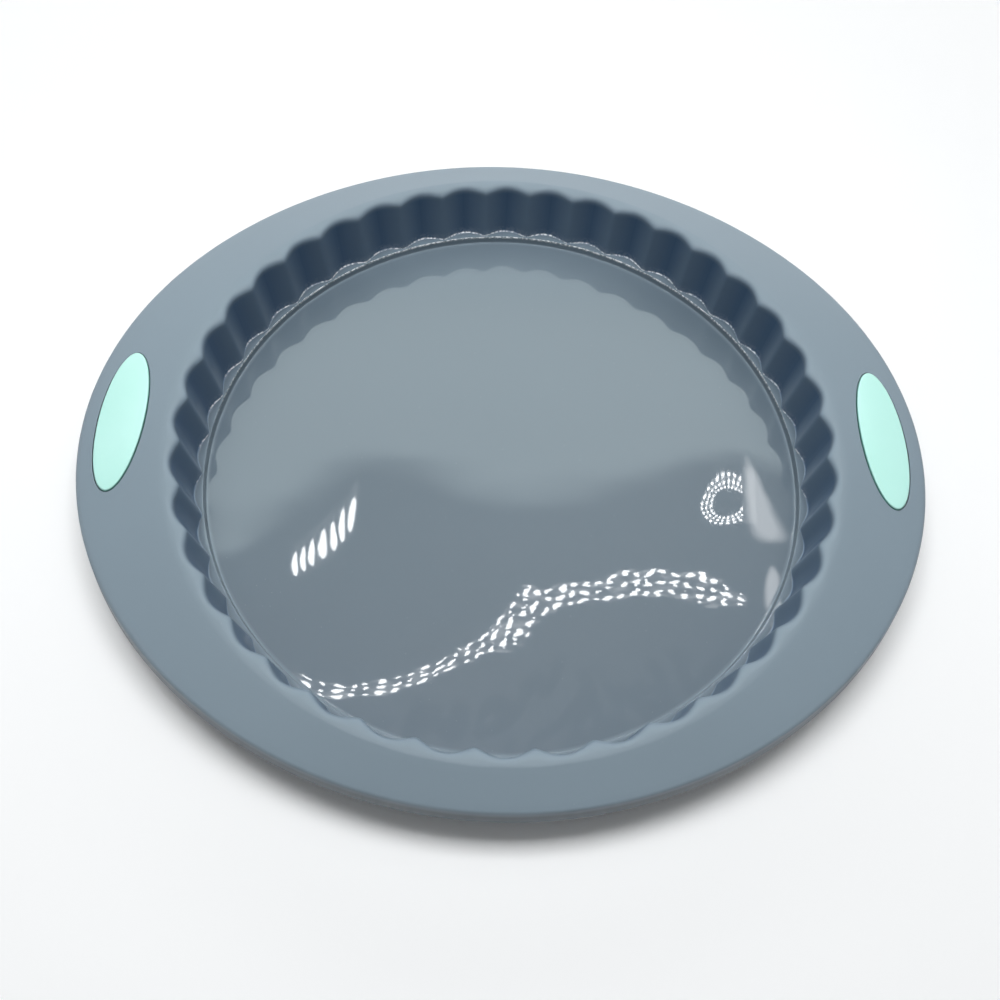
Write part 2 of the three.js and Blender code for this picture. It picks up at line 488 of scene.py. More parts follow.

# %% [markdown]
# ## Soft swells in the floor
#
# The floor of a real silicone pan is never quite flat. It lies in long low swells, a millimetre or so high,
# and they bend everything that the glossy floor mirrors. Noise could do this, but a few listed swells
# can be put where the photograph shows them. Each is a long soft hill or hollow.

# %% Node group for one swell
SWELL_INPUTS = ("X", "Y", "Middle X", "Middle Y", "Turn", "Half Length", "Half Width", "Height")

swell_group, swell_in, swell_out = new_tree(
    "floor_swell", "GeometryNodeTree", dict.fromkeys(SWELL_INPUTS, "Float"), {"Lift": "Float"}
)
group = swell_group
given = swell_in.outputs
from_x = minus(group, given["X"], given["Middle X"])
from_y = minus(group, given["Y"], given["Middle Y"])
cosine = calc(group, "COSINE", given["Turn"])
sine = calc(group, "SINE", given["Turn"])
along_x = times(group, from_x, cosine)
along_y = times(group, from_y, sine)
across_x = times(group, from_x, sine)
across_y = times(group, from_y, cosine)
along_share = calc(group, "DIVIDE", plus(group, along_x, along_y), given["Half Length"])
across_share = calc(group, "DIVIDE", minus(group, across_y, across_x), given["Half Width"])
squares = [calc(group, "POWER", share, 2.0) for share in (along_share, across_share)]
falling = times(group, plus(group, *squares), -1.0)
swell_lift = times(group, calc(group, "EXPONENT", falling), given["Height"])
feed(group, swell_out.inputs["Lift"], swell_lift)
print("group", group.name, "has", len(group.nodes), "nodes")

# %% Where the swells lie, in millimetres and degrees
Swell = namedtuple("Swell", "middle_x middle_y turn half_length half_width height")
swells = [
    Swell(-25.0, -4.0, -5.0, 120.0, 32.0, -0.75),
    Swell(-50.0, -32.0, -25.0, 40.0, 29.0, -0.55),
    Swell(-106.0, -63.0, 10.0, 27.0, 24.0, 1.25),
    Swell(98.0, 38.0, 20.0, 34.0, 30.0, 0.7),
    Swell(10.0, 128.0, 0.0, 100.0, 24.0, 1.4),
]
print("swells reach", [swell.height for swell in swells], "mm")

# %% [markdown]
# ## The pan as a Geometry Nodes tree
#
# The whole body follows a rule, so nodes build it. A grid has one column of points for each step round the
# pan and one row for each point of the profile. Each point looks up its row in the profile, works out its
# angle from its column, and moves to its place. Columns stand closer together near the creases, where the
# surface turns fastest. Then the seam is closed, and the pockets and the pin marks are cut.

# %% Inputs of the pan tree
pan_tree, pan_in, pan_out = new_tree(
    "fluted_pan",
    "GeometryNodeTree",
    {
        "Profile": "Geometry",
        **dict.fromkeys(("Flutes", "Columns Per Flute", "Pin Marks"), "Int"),
        **dict.fromkeys(("Flute Depth", *RULE_SIZES, "Pin Radius", "Pin Inset", "Pin Height"), "Float"),
        **dict.fromkeys(pocket_tools, "Object"),
        "Finish": "Material",
    },
    {"Pan": "Geometry"},
)
tree = pan_tree
size = pan_in.outputs
print("pan tree takes", len(pan_tree.interface.items_tree) - 1, "inputs")

# %% Row, column and angle of every point
CROWDING = 0.45


def whole(operation, *values):
    """One step of arithmetic in whole numbers."""
    return calc(tree, operation, *values, kind="FunctionNodeIntegerMath")


row_count = add(tree, "GeometryNodeAttributeDomainSize", Geometry=size["Profile"]).outputs["Point Count"]
column_count = whole("MULTIPLY", size["Flutes"], size["Columns Per Flute"])
grid = add(tree, "GeometryNodeMeshGrid", Vertices_X=whole("ADD", column_count, 1), Vertices_Y=row_count)
point_index = tree.nodes.new("GeometryNodeInputIndex").outputs["Index"]
row_index = whole("MODULO", point_index, row_count)
column_index = whole("DIVIDE_FLOOR", point_index, row_count)
even_angle = times(tree, calc(tree, "DIVIDE", column_index, column_count), math.tau)
wave = calc(tree, "SINE", times(tree, even_angle, size["Flutes"]))
shift = calc(tree, "DIVIDE", times(tree, wave, CROWDING), size["Flutes"])
point_angle = plus(tree, even_angle, shift)
print("grid rows follow the profile, columns go round the pan")

# %% What every point reads from the profile
NUMBER_AT_POINT = {"data_type": "FLOAT", "domain": "POINT"}


def from_profile(value):
    """Value of the profile point on the same row."""
    source = {"Geometry": size["Profile"], "Value": value, "Index": row_index}
    return add(tree, "GeometryNodeSampleIndex", NUMBER_AT_POINT, **source).outputs["Value"]


def carried(name):
    """A value that the profile carries under a name."""
    node = add(tree, "GeometryNodeInputNamedAttribute", {"data_type": "FLOAT"}, Name=name)
    return from_profile(node.outputs["Attribute"])


profile_place = tree.nodes.new("GeometryNodeInputPosition").outputs["Position"]
place_parts = add(tree, "ShaderNodeSeparateXYZ", Vector=profile_place)
profile_out = from_profile(place_parts.outputs["X"])
profile_up = from_profile(place_parts.outputs["Z"])
print("each point reads its row")


# %% Plan of every point
def outline_at(angle):
    """What the rule of the flutes and of the rim gives at an angle."""
    node = use_group(tree, outline_group, Angle=angle, Flutes=size["Flutes"])
    for name in RULE_SIZES:
        feed(tree, node.inputs[name], size[name])
    return node.outputs


rules = outline_at(point_angle)
crease_depth = times(tree, rules["Crease Share"], size["Flute Depth"])
flute_in = times(tree, crease_depth, carried("follows_flutes"))
rim_out = times(tree, rules["Rim Radius"], carried("follows_rim"))
point_radius = plus(tree, minus(tree, profile_out, flute_in), rim_out)
point_x = times(tree, point_radius, calc(tree, "COSINE", point_angle))
point_y = times(tree, point_radius, calc(tree, "SINE", point_angle))
print("radius = profile - flutes + rim")

# %% Height of every point, with the floor's swells and a faint ripple
RIPPLE_HEIGHT = 0.010 * MM
RIPPLE_SCALE = 70.0


def hill(shape, height):
    """A soft hill over the plan, with the place and size of a swell and a height of its own."""
    return use_group(
        tree,
        swell_group,
        X=point_x,
        Y=point_y,
        Middle_X=shape.middle_x * MM,
        Middle_Y=shape.middle_y * MM,
        Turn=math.radians(shape.turn),
        Half_Length=shape.half_length * MM,
        Half_Width=shape.half_width * MM,
        Height=height,
    ).outputs["Lift"]


lift = 0.0
for swell in swells:
    lift = plus(tree, lift, hill(swell, swell.height * MM))
plan_place = add(tree, "ShaderNodeCombineXYZ", X=point_x, Y=point_y).outputs["Vector"]
ripple = noise(tree, plan_place, RIPPLE_SCALE, detail=1.0)
ripple_lift = times(tree, minus(tree, ripple, 0.5), 2 * RIPPLE_HEIGHT)
lift = plus(tree, lift, ripple_lift)
fade = ramp(tree, carried("swell"), soft=True)
point_z = plus(tree, profile_up, times(tree, lift, fade))
placed = add(tree, "ShaderNodeCombineXYZ", X=point_x, Y=point_y, Z=point_z).outputs["Vector"]
print("floor lifted by", len(swells), "swells")

# %% Marks for the finish, and every point in its place
SEAM_GAP = 0.002 * MM
dull_back = Swell(0.0, 104.0, 0.0, 110.0, 22.0, 0.45)

polish = minus(tree, 1.0, hill(dull_back, dull_back.height))
marks = {name: carried(name) for name in ("gloss", "wall", "pale_edge", "skirt")}
marks["gloss"] = times(tree, marks["gloss"], polish)
marks["crease"] = rules["Crease Share"]
marked = grid.outputs["Mesh"]
for mark_name, value in marks.items():
    stored = {"Geometry": marked, "Name": mark_name, "Value": value}
    marked = add(tree, "GeometryNodeStoreNamedAttribute", NUMBER_AT_POINT, **stored).outputs["Geometry"]
moved = add(tree, "GeometryNodeSetPosition", Geometry=marked, Position=placed)
closed = add(tree, "GeometryNodeMergeByDistance", Geometry=moved.outputs["Geometry"], Distance=SEAM_GAP)
print("points carry", list(marks))

# %% Pin marks in the foot of the skirt
PIN_SIDES = 20
PIN_LENGTH = 8.0 * MM

mark_index = tree.nodes.new("GeometryNodeInputIndex").outputs["Index"]
mark_turn = calc(tree, "DIVIDE", plus(tree, mark_index, 0.5), size["Pin Marks"])
mark_angle = times(tree, mark_turn, math.tau)
mark_radius = minus(tree, outline_at(mark_angle)["Rim Radius"], size["Pin Inset"])
mark_x = times(tree, mark_radius, calc(tree, "COSINE", mark_angle))
mark_y = times(tree, mark_radius, calc(tree, "SINE", mark_angle))
mark_place = add(tree, "ShaderNodeCombineXYZ", X=mark_x, Y=mark_y, Z=size["Pin Height"]).outputs["Vector"]
mark_points = add(tree, "GeometryNodePoints", Count=size["Pin Marks"], Position=mark_place).outputs["Points"]
pin = add(tree, "GeometryNodeMeshCylinder", Vertices=PIN_SIDES, Radius=size["Pin Radius"], Depth=PIN_LENGTH)
pins = add(tree, "GeometryNodeInstanceOnPoints", Points=mark_points, Instance=pin.outputs["Mesh"])
pins = add(tree, "GeometryNodeRealizeInstances", Geometry=pins.outputs["Instances"])
print("pins are placed on the rim's own outline")

# %% Cut, smooth and finish
cut = add(tree, "GeometryNodeMeshBoolean", {"operation": "DIFFERENCE", "solver": "MANIFOLD"})
feed(tree, cut.inputs["Mesh 1"], closed.outputs["Geometry"])
feed(tree, cut.inputs["Mesh 2"], pins.outputs["Geometry"])
for pocket_name in pocket_tools:
    pocket = add(tree, "GeometryNodeObjectInfo", Object=size[pocket_name])
    feed(tree, cut.inputs["Mesh 2"], pocket.outputs["Geometry"])
smooth = add(tree, "GeometryNodeSetShadeSmooth", Geometry=cut.outputs["Mesh"])
whole_pan = add(tree, "GeometryNodeRealizeInstances", Geometry=smooth.outputs["Geometry"]).outputs["Geometry"]
finished = add(tree, "GeometryNodeSetMaterial", Geometry=whole_pan, Material=size["Finish"])
feed(tree, pan_out.inputs["Pan"], finished.outputs["Geometry"])
print("pan tree has", len(tree.nodes), "nodes")

# %% [markdown]
# ## Silicone
#
# Silicone takes the finish of the steel mould it was pressed in. The rim came from a blasted mould and is
# satin. The cup came from a polished one, so its floor shines, a little less at the back. The fluted wall
# has painted shade: it is darker, most of all in the hollows of the flutes, and lighter on the creases. The
# skirt has painted shade too. The ledge's two edges get painted glints, white highlights where they slope
# to the front. All of it has a faint cloudiness, a fine grain and a little dust, which silicone always
# attracts. That shared skin is one node group, and each colour uses it with its own values.

# %% Node group for the skin of silicone
FLECK_CORE = 0.05
FLECK_EDGE = 0.09
FLECK_RARITY = 0.8

skin_group, skin_in, skin_out = new_tree(
    "silicone_skin",
    "ShaderNodeTree",
    {"Cloud Scale": "Float", "Grain Scale": "Float", "Dust Scale": "Float"},
    {"Clouds": "Float", "Grain": "Float", "Dust": "Float"},
)
group = skin_group
given = skin_in.outputs
coordinates = group.nodes.new("ShaderNodeTexCoord").outputs["Object"]
feed(group, skin_out.inputs["Clouds"], noise(group, coordinates, given["Cloud Scale"], detail=4.0))
feed(group, skin_out.inputs["Grain"], noise(group, coordinates, given["Grain Scale"]))
flecks = add(group, "ShaderNodeTexVoronoi", Vector=coordinates, Scale=given["Dust Scale"])
fleck_shape = ramp(group, flecks.outputs["Distance"], start=FLECK_CORE, end=FLECK_EDGE, low=1.0, high=0.0)
fleck_pick = add(group, "ShaderNodeSeparateColor", Color=flecks.outputs["Color"])
picked = calc(group, "GREATER_THAN", fleck_pick.outputs["Red"], FLECK_RARITY)
feed(group, skin_out.inputs["Dust"], times(group, fleck_shape, picked))
print("group", group.name, "has", len(group.nodes), "nodes")


# %% Helpers for materials
def new_material(name):
    """A node material with its tree and its Principled shader."""
    material = bpy.data.materials.new(name)
    material.use_nodes = True
    return material, material.node_tree, material.node_tree.nodes["Principled BSDF"]


def blend(tree, share, first, second):
    """A mix of two colours."""
    node = add(tree, "ShaderNodeMix", {"data_type": "RGBA"}, Factor=share, A=first, B=second)
    return node.outputs["Result"]


def surface_mark(tree, name):
    """A value that a piece's mesh carries for each of its points."""
    return add(tree, "ShaderNodeAttribute", {"attribute_name": name}).outputs["Fac"]


print("material helpers ready")

# %% Colours of the grey silicone
satin_dark = (0.192, 0.252, 0.300, 1.0)
satin_light = (0.212, 0.277, 0.328, 1.0)
polished_dark = (0.100, 0.139, 0.174, 1.0)
polished_light = (0.112, 0.153, 0.190, 1.0)
# Painted shade for the fluted wall: darker in the hollows of the flutes, lighter on the creases.
shaded_hollow_colour = (0.056, 0.112, 0.200, 1.0)
lit_ridge_colour = (0.132, 0.200, 0.285, 1.0)
# Painted shade: the skirt and the rim's underside turn this dark grey from a little below the rim's edge.
skirt_painted_shade = (0.066, 0.094, 0.119, 1.0)
GRAIN_SCALE = 2600.0
RIDGE_BREADTH = 0.55

grey, tree, shader = new_material("grey_silicone_moulded")
skin = use_group(tree, skin_group, Cloud_Scale=14.0, Grain_Scale=GRAIN_SCALE, Dust_Scale=320.0).outputs
gloss = surface_mark(tree, "gloss")
satin = blend(tree, skin["Clouds"], satin_dark, satin_light)
polished = blend(tree, skin["Clouds"], polished_dark, polished_light)
# The wall's painted shade: lighter towards the creases, darker in the hollows, with a little cloudy variation.
broad_ridge = calc(tree, "POWER", surface_mark(tree, "crease"), RIDGE_BREADTH)
ridge_share = times(tree, broad_ridge, ramp(tree, skin["Clouds"], low=0.7, high=1.3))
painted_wall_shade = blend(tree, ridge_share, shaded_hollow_colour, lit_ridge_colour)
slate = blend(tree, surface_mark(tree, "wall"), blend(tree, gloss, satin, polished), painted_wall_shade)
# Painted shade on the skirt.
slate = blend(tree, surface_mark(tree, "skirt"), slate, skirt_painted_shade)
print("material", grey.name, "has its greys")

# %% Painted glints and dust on the grey silicone
# Painted highlights: near-white glints on the ledge's edges where they slope to the front, broken up by noise.
painted_glint_colour = (0.92, 0.95, 0.97, 1.0)
dust_colour = (0.42, 0.45, 0.48, 1.0)
GLINT_SCALE = 800.0
GREY_DUST = 0.12

coordinates = tree.nodes.new("ShaderNodeTexCoord").outputs["Object"]
glitter = noise(tree, coordinates, GLINT_SCALE, detail=1.0)
glints = ramp(tree, glitter, start=0.42, end=0.60, low=0.15)
to_front = ramp(tree, surface_mark(tree, "slope_to_front"), start=0.05, end=0.40, soft=True)
glint_share = times(tree, glints, to_front)
painted_glint_share = times(tree, surface_mark(tree, "pale_edge"), glint_share)
with_painted_glints = blend(tree, painted_glint_share, slate, painted_glint_colour)
dust_share = times(tree, skin["Dust"], GREY_DUST)
feed(tree, shader.inputs["Base Color"], blend(tree, dust_share, with_painted_glints, dust_colour))
print("material", grey.name, "has its glints and dust")

# %% Gloss and grain of the grey silicone
SILICONE_IOR = 1.43
GRAIN_DEPTH = 0.05 * MM

feed(tree, shader.inputs["Roughness"], ramp(tree, skin["Clouds"], low=0.36, high=0.44))
feed(tree, shader.inputs["Coat Weight"], gloss)
shader.inputs["Coat Roughness"].default_value = 0.015
shader.inputs["Coat IOR"].default_value = SILICONE_IOR
shader.inputs["IOR"].default_value = SILICONE_IOR
satin_grain = times(tree, skin["Grain"], minus(tree, 1.0, gloss))
bump = add(tree, "ShaderNodeBump", Strength=0.25, Distance=GRAIN_DEPTH, Height=satin_grain)
feed(tree, shader.inputs["Normal"], bump.outputs["Normal"])
print("material", grey.name, "has", len(tree.nodes), "nodes")

# %% Mint silicone of the grips
mint_deep = (0.475, 0.85, 0.765, 1.0)
mint_pale = (0.55, 0.90, 0.84, 1.0)
mint_dust = (0.80, 0.93, 0.90, 1.0)
# Painted shade: the steep sides of a grip turn this dark mint.
mint_side_shade = (0.10, 0.30, 0.26, 1.0)
MINT_DUST = 0.2

mint, tree, shader = new_material("mint_silicone_moulded")
skin = use_group(tree, skin_group, Cloud_Scale=40.0, Grain_Scale=GRAIN_SCALE, Dust_Scale=380.0).outputs
mint_mix = blend(tree, skin["Clouds"], mint_deep, mint_pale)
dust_share = times(tree, skin["Dust"], MINT_DUST)
mint_top = blend(tree, dust_share, mint_mix, mint_dust)
# Painted shade on the steep sides of the grip.
side_shade_share = ramp(tree, surface_mark(tree, "steepness"), start=0.07, end=0.60)
feed(tree, shader.inputs["Base Color"], blend(tree, side_shade_share, mint_top, mint_side_shade))
feed(tree, shader.inputs["Roughness"], ramp(tree, skin["Clouds"], low=0.26, high=0.36))
bump = add(tree, "ShaderNodeBump", Strength=0.12, Distance=GRAIN_DEPTH, Height=skin["Grain"])
feed(tree, shader.inputs["Normal"], bump.outputs["Normal"])
shader.inputs["IOR"].default_value = SILICONE_IOR
print("material", mint.name, "has", len(tree.nodes), "nodes")

# %% [markdown]
# ## Building the pan
#
# The tree gets its sizes by the identifiers of its sockets, all before it runs for the first time. Its result
# is then turned into a plain mesh, because the finished piece should carry no live modifier. The mesh also
# keeps how much each point slopes to the front, which the painted glints read.

# %% Run the pan tree
COLUMNS_PER_FLUTE = 14
pin_count = 8
pin_radius = 1.2

pan_sizes = {
    "Flutes": flute_count,
    "Columns Per Flute": COLUMNS_PER_FLUTE,
    "Flute Depth": flute_depth * MM,
    "Crease Softness": crease_softness,
    "Rim Half Length": rim_half_length * MM,
    "Rim Half Width": rim_half_width * MM,
    "Shoulder Inset": shoulder_inset * MM,
    "Pin Marks": pin_count,
    "Pin Radius": pin_radius * MM,
    "Pin Inset": (skirt_thickness - skirt_flare) / 2 * MM,
    "Pin Height": skirt_foot_height * MM,
    "Finish": grey,
    **pocket_tools,
}
builder = pan_shell.modifiers.new("fluted_pan", "NODES")
builder.node_group = pan_tree
for item in pan_tree.interface.items_tree:
    if item.in_out == "INPUT" and item.name in pan_sizes:
        builder[item.identifier] = pan_sizes[item.name]
print("pan tree set up with", len(pan_sizes), "values")

# %% Turn the result into a plain mesh
SHARP_ANGLE = math.radians(50)


def store_slope(mesh, name, slope):
    """Keeps a number for each point of a mesh, worked out from the point's normal."""
    attribute = mesh.attributes.new(name, "FLOAT", "POINT")
    for item, point in zip(attribute.data, mesh.vertices):
        item.value = slope(point.normal)


graph = bpy.context.evaluated_depsgraph_get()
evaluated = pan_shell.evaluated_get(graph)
pan_mesh = bpy.data.meshes.new_from_object(evaluated, preserve_all_data_layers=True, depsgraph=graph)
pan_shell.modifiers.remove(builder)
pan_shell.data = pan_mesh
pan_mesh.name = "pan_shell"
pan_mesh.set_sharp_from_angle(angle=SHARP_ANGLE)
store_slope(pan_mesh, "slope_to_front", lambda normal: -normal.y)
for tool in pocket_tools.values():
    bpy.data.objects.remove(tool)
print("pan shell has", len(pan_mesh.vertices), "points and", len(pan_mesh.polygons), "faces")

# %% [markdown]
# ## The grips
#
# A grip is a flat mint oval with a low dome and a round shoulder. It fills its pocket but for a fine gap. The
# gap shows as a dark line all round, and the steep sides are painted a darker mint as shade. Its key goes
# through the flange and holds it there.

# %% Model the two grips
EDGE_ROUND = 0.35
TOP_ROUND = 0.85
TOP_STEPS = 5
DOME_STEPS = 12

key_end = fit_gap - flange_thickness
grip_rings = [
    (0.0, 0.0, key_end),
    oval(key_inset + EDGE_ROUND, key_end),
    oval(key_inset, key_end + EDGE_ROUND),
    oval(key_inset, -grip_depth),
    oval(EDGE_ROUND, -grip_depth),
    oval(0.0, -grip_depth + EDGE_ROUND),
    oval(0.0, grip_edge_lift - TOP_ROUND),
]
for step in range(1, TOP_STEPS + 1):
    turn = math.pi / 2 * step / TOP_STEPS
    shoulder_lift = grip_edge_lift - TOP_ROUND * (1 - math.sin(turn))
    grip_rings.append(oval(TOP_ROUND * (1 - math.cos(turn)), shoulder_lift))
dome_half_width, dome_half_length, dome_foot = oval(TOP_ROUND, grip_edge_lift)
for step in range(1, DOME_STEPS + 1):
    share = 1 - step / DOME_STEPS
    dome_lift = dome_foot + (grip_crown - dome_foot) * (1 - share * share)
    grip_rings.append((dome_half_width * share, dome_half_length * share, dome_lift))
print("a grip has", len(grip_rings), "rings")

# %% Finish the two grips
grips = {
    "grip_right": oval_solid("grip_inlay_right", grip_rings, 1),
    "grip_left": oval_solid("grip_inlay_left", grip_rings, -1),
}
for piece in grips.values():
    piece.data.materials.append(mint)
    piece.data.shade_smooth()
    piece.data.set_sharp_from_angle(angle=SHARP_ANGLE)
    store_slope(piece.data, "steepness", lambda normal: 1 - abs(normal.z))
    print(piece.name, "has", len(piece.data.polygons), "faces")

# %% [markdown]
# ## The steel ring in the rim
#
# The ring is drawn wire. Only its underside shows, through the small marks of the pins that held it in the
# mould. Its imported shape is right, so it stays and gets a better finish: fine lines along the wire, made by a
# noise that is stretched far more one way than the other.

# %% Drawn steel
steel_dark = (0.44, 0.45, 0.46, 1.0)
steel_light = (0.62, 0.63, 0.64, 1.0)
LINE_SCALE = (60.0, 60.0, 4000.0)

steel, tree, shader = new_material("drawn_steel")
coordinates = tree.nodes.new("ShaderNodeTexCoord").outputs["Object"]
stretch = add(tree, "ShaderNodeMapping", Vector=coordinates, Scale=LINE_SCALE).outputs["Vector"]
lines = noise(tree, stretch, scale=1.0, detail=3.0)
feed(tree, shader.inputs["Base Color"], blend(tree, lines, steel_dark, steel_light))
feed(tree, shader.inputs["Roughness"], ramp(tree, lines, low=0.28, high=0.45))
shader.inputs["Metallic"].default_value = 1.0
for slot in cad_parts["rim_wire"].material_slots:
    slot.material = steel
print("steel on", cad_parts["rim_wire"].name)

# %% [markdown]
# ## The table, the lamps and the white surroundings
#
# A plain white table carries the shadow. The light comes from two soft glows above the pan, one narrow and
# one wide, and from a bright backdrop low behind it. A soft panel behind the pan gives reflections alone: the
# far half of the glossy floor mirrors it and looks pale. The table and the surroundings are lifted to white
# only where the camera or a mirror looks straight at them, the table least near the pan, to keep the shadow.

# %% White table
TABLE_HALF = 3.0
PAPER_SCALE = 6.0
paper_dark = (0.92, 0.935, 0.945, 1)
paper_light = (0.94, 0.955, 0.965, 1)


def looked_at(tree):
    """1 where the camera or a mirror looks straight at a surface, and 0 for the light that it gives."""
    paths = tree.nodes.new("ShaderNodeLightPath").outputs
    mirrors = calc(tree, "MAXIMUM", paths["Is Glossy Ray"], paths["Is Transmission Ray"])
    return calc(tree, "MAXIMUM", paths["Is Camera Ray"], mirrors)


white, tree, shader = new_material("white_table_top")
coordinates = tree.nodes.new("ShaderNodeTexCoord").outputs["Object"]
paper = noise(tree, coordinates, PAPER_SCALE)
feed(tree, shader.inputs["Base Color"], blend(tree, paper, paper_dark, paper_light))
shader.inputs["Roughness"].default_value = 0.9
shader.inputs["Specular IOR Level"].default_value = 0.0
shader.inputs["Emission Color"].default_value = (1.0, 1.0, 1.0, 1.0)
from_pan = add(tree, "ShaderNodeVectorMath", {"operation": "LENGTH"})
feed(tree, from_pan.inputs[0], coordinates)
far_white = ramp(tree, from_pan.outputs["Value"], start=0.28, end=1.3, low=0.04, high=0.85, soft=True)
feed(tree, shader.inputs["Emission Strength"], times(tree, looked_at(tree), far_white))

table_mesh = bpy.data.meshes.new("white_table")
table_sides = [(-1, -1), (1, -1), (1, 1), (-1, 1)]
table_corners = [(x * TABLE_HALF, y * TABLE_HALF, 0.0) for x, y in table_sides]
table_mesh.from_pydata(table_corners, [], [(0, 1, 2, 3)])
table_mesh.materials.append(white)
table = bpy.data.objects.new("white_table", table_mesh)
scene.collection.objects.link(table)
table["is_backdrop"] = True
print("table is", 2 * TABLE_HALF, "m wide")

# %% White surroundings
AMBIENT = 0.04
OVERHEAD = 0.35

world = bpy.data.worlds.new("soft_surroundings")
scene.world = world
world.use_nodes = True
tree = world.node_tree
direction = tree.nodes.new("ShaderNodeTexCoord").outputs["Generated"]
upward = add(tree, "ShaderNodeSeparateXYZ", Vector=direction).outputs["Z"]
seen = ramp(tree, upward, start=0.3, end=1.0, low=1.0, high=OVERHEAD)
lifted = times(tree, looked_at(tree), minus(tree, seen, AMBIENT))
background = tree.nodes["Background"].inputs
feed(tree, background["Strength"], plus(tree, AMBIENT, lifted))
background["Color"].default_value = (1.0, 1.0, 1.0, 1.0)
print("surroundings light with", AMBIENT)


# %% Helpers for lamps
def panel_lamp(name, place, target, width, depth, brightness):
    """A rectangular lamp that faces a point; its radiance is about 0.8 of its brightness."""
    data = bpy.data.lights.new(name, "AREA")
    data.shape = "RECTANGLE"
    data.size = width
    data.size_y = depth
    data.energy = brightness * math.pi * width * depth
    lamp = bpy.data.objects.new(name, data)
    facing = (Vector(target) - Vector(place)).to_track_quat("-Z", "Y")
    lamp.matrix_world = Matrix.Translation(place) @ facing.to_matrix().to_4x4()
    lamp.visible_camera = False
    scene.collection.objects.link(lamp)
    print(name, "gives", round(data.energy, 1), "W")
    return lamp


def places_on(lamp):
    """The node tree of a lamp, and the two places on it, from 0 to 1."""
    lamp.data.use_nodes = True
    tree = lamp.data.node_tree
    spot = tree.nodes.new("ShaderNodeNewGeometry").outputs["Parametric"]
    parts = add(tree, "ShaderNodeSeparateXYZ", Vector=spot)
    return tree, parts.outputs["X"], parts.outputs["Y"]


def shine(tree, strength):
    """Sets how brightly each place on a lamp shines."""
    feed(tree, tree.nodes["Emission"].inputs["Strength"], strength)


print("lamp helpers ready")

# %% Soft panel that the floor mirrors
pan_middle = (0.0, 0.0, 0.0)
panel_place = (0.0, 0.7656, 0.8957)
panel = panel_lamp("soft_panel_behind", panel_place, pan_middle, width=1.5, depth=0.50, brightness=3.0)
panel.visible_diffuse = False
panel.data.color = (0.86, 1.0, 1.0)
tree, along, across = places_on(panel)
near_edge = ramp(tree, across, start=0.16, end=0.34, soft=True)
far_edge = ramp(tree, across, start=1.0, end=0.95, soft=True)
shine(tree, times(tree, near_edge, far_edge))

# %% Lamps that light the pan
glow_place = (-0.03, 0.07, 0.9)
glow_target = (-0.03, 0.07, 0.0)
panel_lamp("bright_backdrop", (0.0, 1.22, 0.44), pan_middle, width=2.4, depth=0.7, brightness=1.25)
glow = panel_lamp("glow_above", glow_place, glow_target, width=0.64, depth=0.26, brightness=12.8)
sky = panel_lamp("wide_glow_above", (0.0, 0.0, 1.3), pan_middle, width=2.0, depth=1.5, brightness=0.56)
for lamp in (glow, sky):
    lamp.visible_glossy = False

# %% [markdown]
# ## Small bright lamps
#
# A glossy floor shows best when it mirrors something small and bright. Three lamps with rows of bulbs hang
# over the pan: a wavy string, a ring that is open at one side, and a short comb. Each could be a crowd of
# tiny lamps. It is quicker to render one flat lamp whose nodes switch it on only where a bulb is. Two small
# cards glow softly beside the ring. All of them give reflections alone.

# %% Helpers for lamps with rows of bulbs
BULB_HEIGHT = 1000.0
CARD_HEIGHT = 1050.0


def flat_lamp(name, x, y, height, width, depth, brightness):
    """A flat lamp that faces down: its tree and the places on it; sizes are in millimetres."""
    place = (x * MM, y * MM, height * MM)
    lamp = panel_lamp(name, place, (x * MM, y * MM, 0.0), width * MM, depth * MM, brightness)
    lamp.visible_diffuse = False
    return places_on(lamp)


def centred(tree, place):
    """A place on a lamp, from -1 to 1."""
    return times(tree, minus(tree, place, 0.5), 2.0)


def weigh(tree, along, across, along_share, across_share, start):
    """A sum of the two places on a lamp, each with its own share."""
    shares = times(tree, along, along_share), times(tree, across, across_share)
    return plus(tree, plus(tree, *shares), start)


def light_bulbs(tree, along, across, columns, rows, bulb_size, haze):
    """Switches a lamp on inside a round spot in each cell of a grid, with a faint haze between."""
    from_middle = []
    lit = 1.0
    for place, count in ((along, columns), (across, rows)):
        room = calc(tree, "FRACT", times(tree, place, count))
        from_middle.append(minus(tree, room, 0.5))
        lit = times(tree, lit, calc(tree, "COMPARE", place, 0.5, 0.5))
    bulb = calc(tree, "LESS_THAN", hypotenuse(tree, *from_middle), bulb_size)
    shine(tree, times(tree, lit, calc(tree, "MAXIMUM", haze, bulb)))
    print("a grid of", columns, "by", rows, "bulbs")


print("bulbs hang", BULB_HEIGHT, "mm up, cards", CARD_HEIGHT, "mm")

# %% A wavy string of bulbs
STRING_LENGTH = 640.0
WAVE_LENGTH = 930.0
WAVE_START = 0.425
WAVE_HEIGHT = 0.373

tree, along, across = flat_lamp(
    "string_of_bulbs", x=80.0, y=316.0, height=BULB_HEIGHT, width=STRING_LENGTH, depth=260.0, brightness=30.0
)


def bump_along(middle, half_width, height):
    """A soft bump at one place along the string."""
    share = calc(tree, "DIVIDE", minus(tree, along, middle), half_width)
    falling = times(tree, calc(tree, "POWER", share, 2.0), -1.0)
    return times(tree, calc(tree, "EXPONENT", falling), height)


